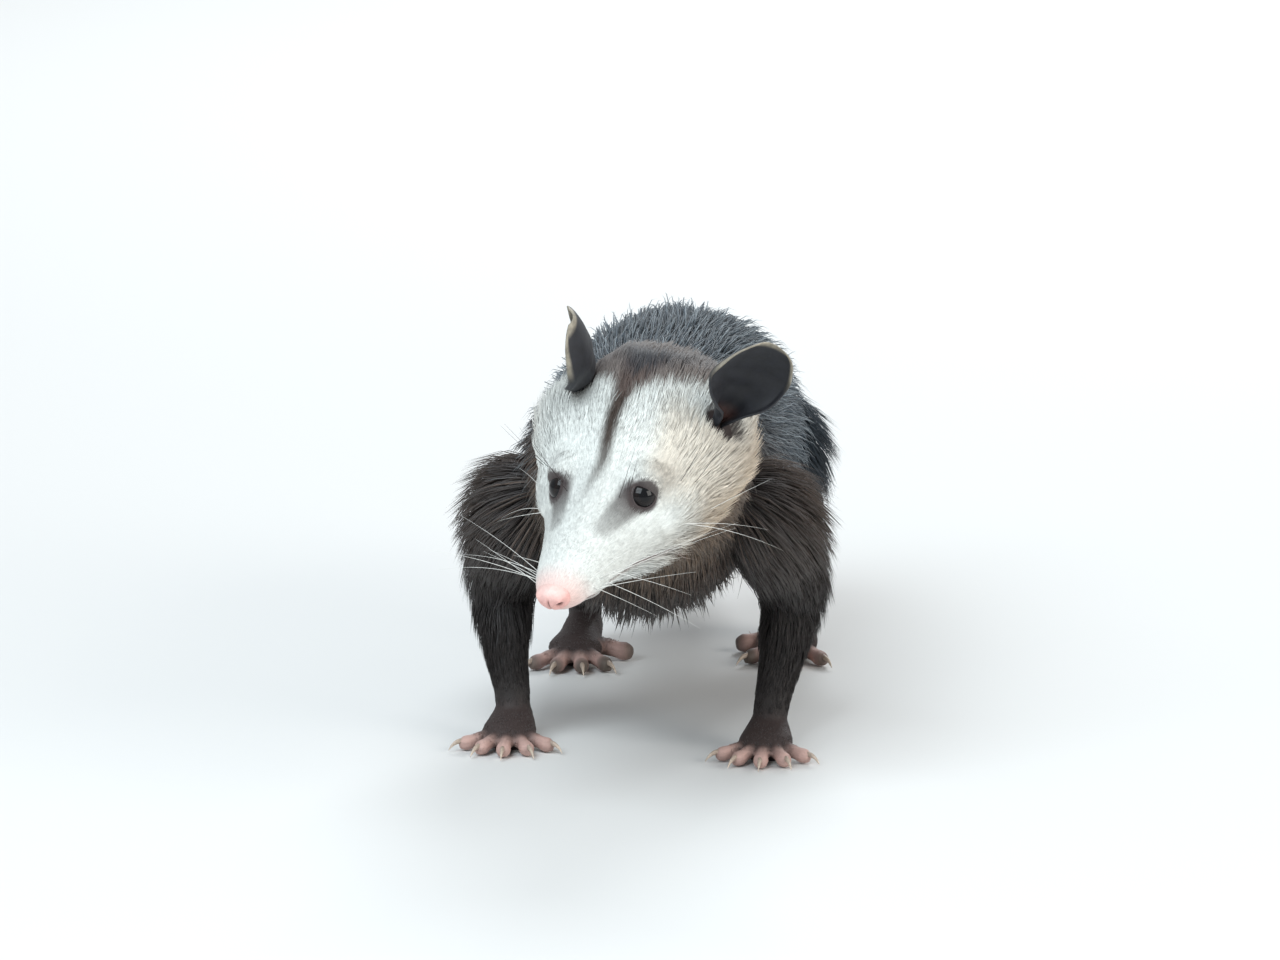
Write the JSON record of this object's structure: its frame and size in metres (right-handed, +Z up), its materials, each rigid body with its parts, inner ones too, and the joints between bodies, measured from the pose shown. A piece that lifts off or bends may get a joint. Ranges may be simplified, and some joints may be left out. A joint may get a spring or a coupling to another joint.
{
  "type": "opossum",
  "caption": "Grown opossum standing on all fours, head turned to its right and nose lowered, with a long grizzled coat, bare cupped ears and a bare trailing tail.",
  "frame": {"origin": "middle of the footprint of the whole animal, on the floor", "axes": "+Z up, +Y towards the tail, +X towards the animal's left side; it faces -Y"},
  "size_m": [0.1692, 0.6218, 0.2112],
  "materials": {
    "face_fur": "short cream-white fur with a brown stripe and dark eye patches",
    "body_fur": "long shaggy fur, blue-black to grey-brown, with pale guard hairs",
    "leg_fur": "short black-brown fur",
    "bare_skin": "moist pink naked skin",
    "foot_skin": "finely pebbled naked skin, dark above with pale toes and horn claws",
    "ear_skin": "thin soft naked skin, black with a pale rim",
    "tail_skin": "ringed scaly skin, dark at the root and pinkish pale beyond",
    "eye": "wet black gloss"
  },
  "bodies": {
    "root": {"head": "face_fur", "lower_jaw": "face_fur", "nose": "bare_skin", "eye_left": "eye", "eye_right": "eye", "ear_left": "ear_skin", "ear_right": "ear_skin", "neck": "body_fur", "chest": "body_fur", "hindquarters": "body_fur", "foreleg_left": "leg_fur", "foreleg_right": "leg_fur", "hindleg_left": "leg_fur", "hindleg_right": "leg_fur", "forefoot_left": "foot_skin", "forefoot_right": "foot_skin", "hindfoot_left": "foot_skin", "hindfoot_right": "foot_skin", "tail_root": "tail_skin", "tail_middle": "tail_skin", "tail_tip": "tail_skin"}
  },
  "joints": []
}
